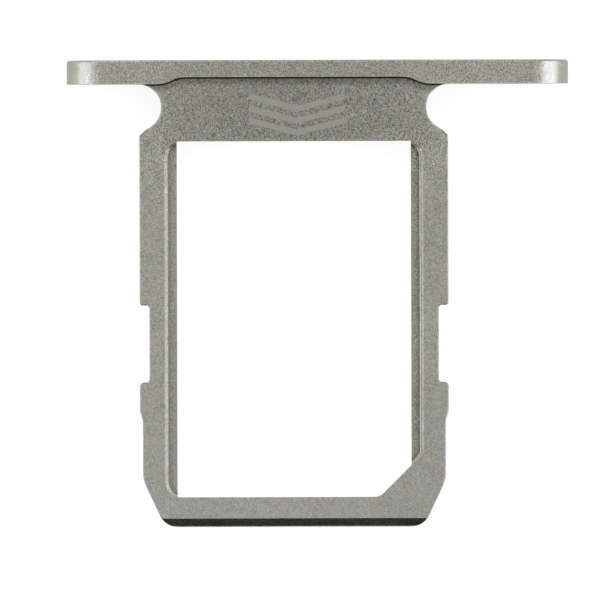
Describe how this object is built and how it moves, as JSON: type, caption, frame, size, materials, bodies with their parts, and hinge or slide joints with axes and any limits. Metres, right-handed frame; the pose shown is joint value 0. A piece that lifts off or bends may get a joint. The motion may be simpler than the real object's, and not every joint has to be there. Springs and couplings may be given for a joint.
{
  "type": "sim card tray",
  "caption": "Flat one-piece metal tray for a small phone card: a round-ended front bar with an eject hole, and behind it an open frame with side ledges, a cut corner and catch notches.",
  "frame": {"origin": "middle of the tray's outline in plan, level with the underside of the bar", "axes": "+X along the bar, towards its longer overhang; +Y out of the phone, square to the bar's front; +Z out of the side that takes the card"},
  "size_m": [0.0176, 0.0164, 0.0024],
  "materials": {
    "anodised_aluminium": "bead blasted and anodised, warm grey, satin"
  },
  "bodies": {
    "root": {"sim_tray": "anodised_aluminium"}
  },
  "joints": []
}
